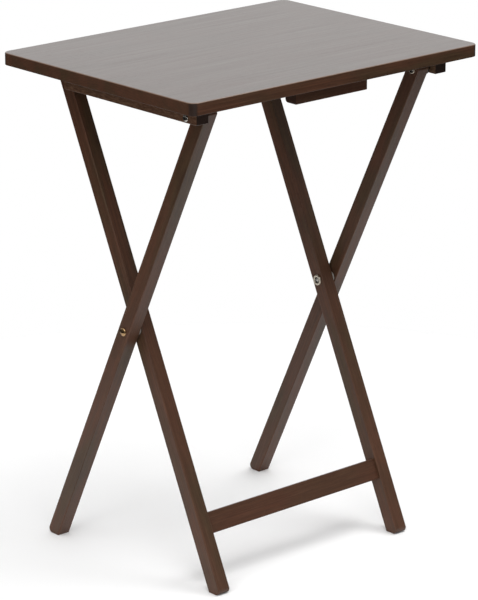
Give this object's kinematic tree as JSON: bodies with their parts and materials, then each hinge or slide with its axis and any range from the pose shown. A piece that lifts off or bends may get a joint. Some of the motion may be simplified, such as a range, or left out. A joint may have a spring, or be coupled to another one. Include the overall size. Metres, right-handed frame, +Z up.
{
  "type": "folding tray table",
  "caption": "Folding wooden tray table: flat rounded-corner top on crossed scissor legs with a lower stretcher; the top lifts and the legs fold together.",
  "frame": {"origin": "on the floor under the middle of the open tabletop", "axes": "+X along the tabletop's long side, +Y towards the far edge where the top rests on the crossbar, +Z up"},
  "size_m": [0.4826, 0.3682, 0.66],
  "materials": {
    "tabletop_wood": "espresso stain, satin lacquer, fine grain along the top's length",
    "leg_wood": "espresso stain, satin lacquer, grain along the piece",
    "rail_wood": "espresso stain, satin lacquer, slightly rubbed edges",
    "pin_wood": "bare beech",
    "brass_bolt": "brass-plated, domed",
    "nickel_bolt": "nickel-plated, domed",
    "nickel_nut": "warm nickel plate, dished",
    "spacer_nylon": "grey nylon",
    "zinc_screw": "zinc-plated",
    "dark_washer": "black-oxide steel, turned"
  },
  "bodies": {
    "outer_frame": {"outer_leg_left": "leg_wood", "outer_leg_right": "leg_wood", "scissor_bolt_left": "brass_bolt", "scissor_bolt_right": "brass_bolt", "scissor_nut_left": "nickel_nut", "scissor_nut_right": "nickel_nut", "scissor_washer_left": "spacer_nylon", "scissor_washer_right": "spacer_nylon"},
    "inner_frame": {"inner_leg_left": "leg_wood", "inner_leg_right": "leg_wood", "lower_stretcher": "leg_wood", "upper_crossbar": "leg_wood", "stretcher_pins": "pin_wood"},
    "top_pivot": {"top_bolt_left": "nickel_bolt", "top_bolt_right": "nickel_bolt", "top_nut_left": "nickel_nut", "top_nut_right": "nickel_nut", "top_washer_left": "dark_washer", "top_washer_right": "dark_washer"},
    "tabletop": {"tabletop_panel": "tabletop_wood", "cleat_left": "rail_wood", "cleat_right": "rail_wood", "storage_block": "rail_wood", "crossbar_stop_left": "rail_wood", "crossbar_stop_right": "rail_wood", "cleat_screws": "zinc_screw", "block_screws": "zinc_screw", "stop_screws": "zinc_screw"}
  },
  "joints": [
    {"name": "leg_fold", "type": "hinge", "parent": "outer_frame", "child": "inner_frame", "pos_m": [0, 0.0125, 0.319], "axis": [1, 0, 0], "range_deg": [0, 50]},
    {"name": "top_follow", "type": "hinge", "parent": "outer_frame", "child": "top_pivot", "pos_m": [0, -0.13615, 0.629], "axis": [1, 0, 0], "range_deg": [0, 25]},
    {"name": "tabletop_lift", "type": "hinge", "parent": "top_pivot", "child": "tabletop", "pos_m": [0, -0.13615, 0.629], "axis": [1, 0, 0], "range_deg": [0, 90]}
  ],
  "couplings": [
    {"joint": "top_follow", "follows": "leg_fold", "ratio": 0.5}
  ]
}
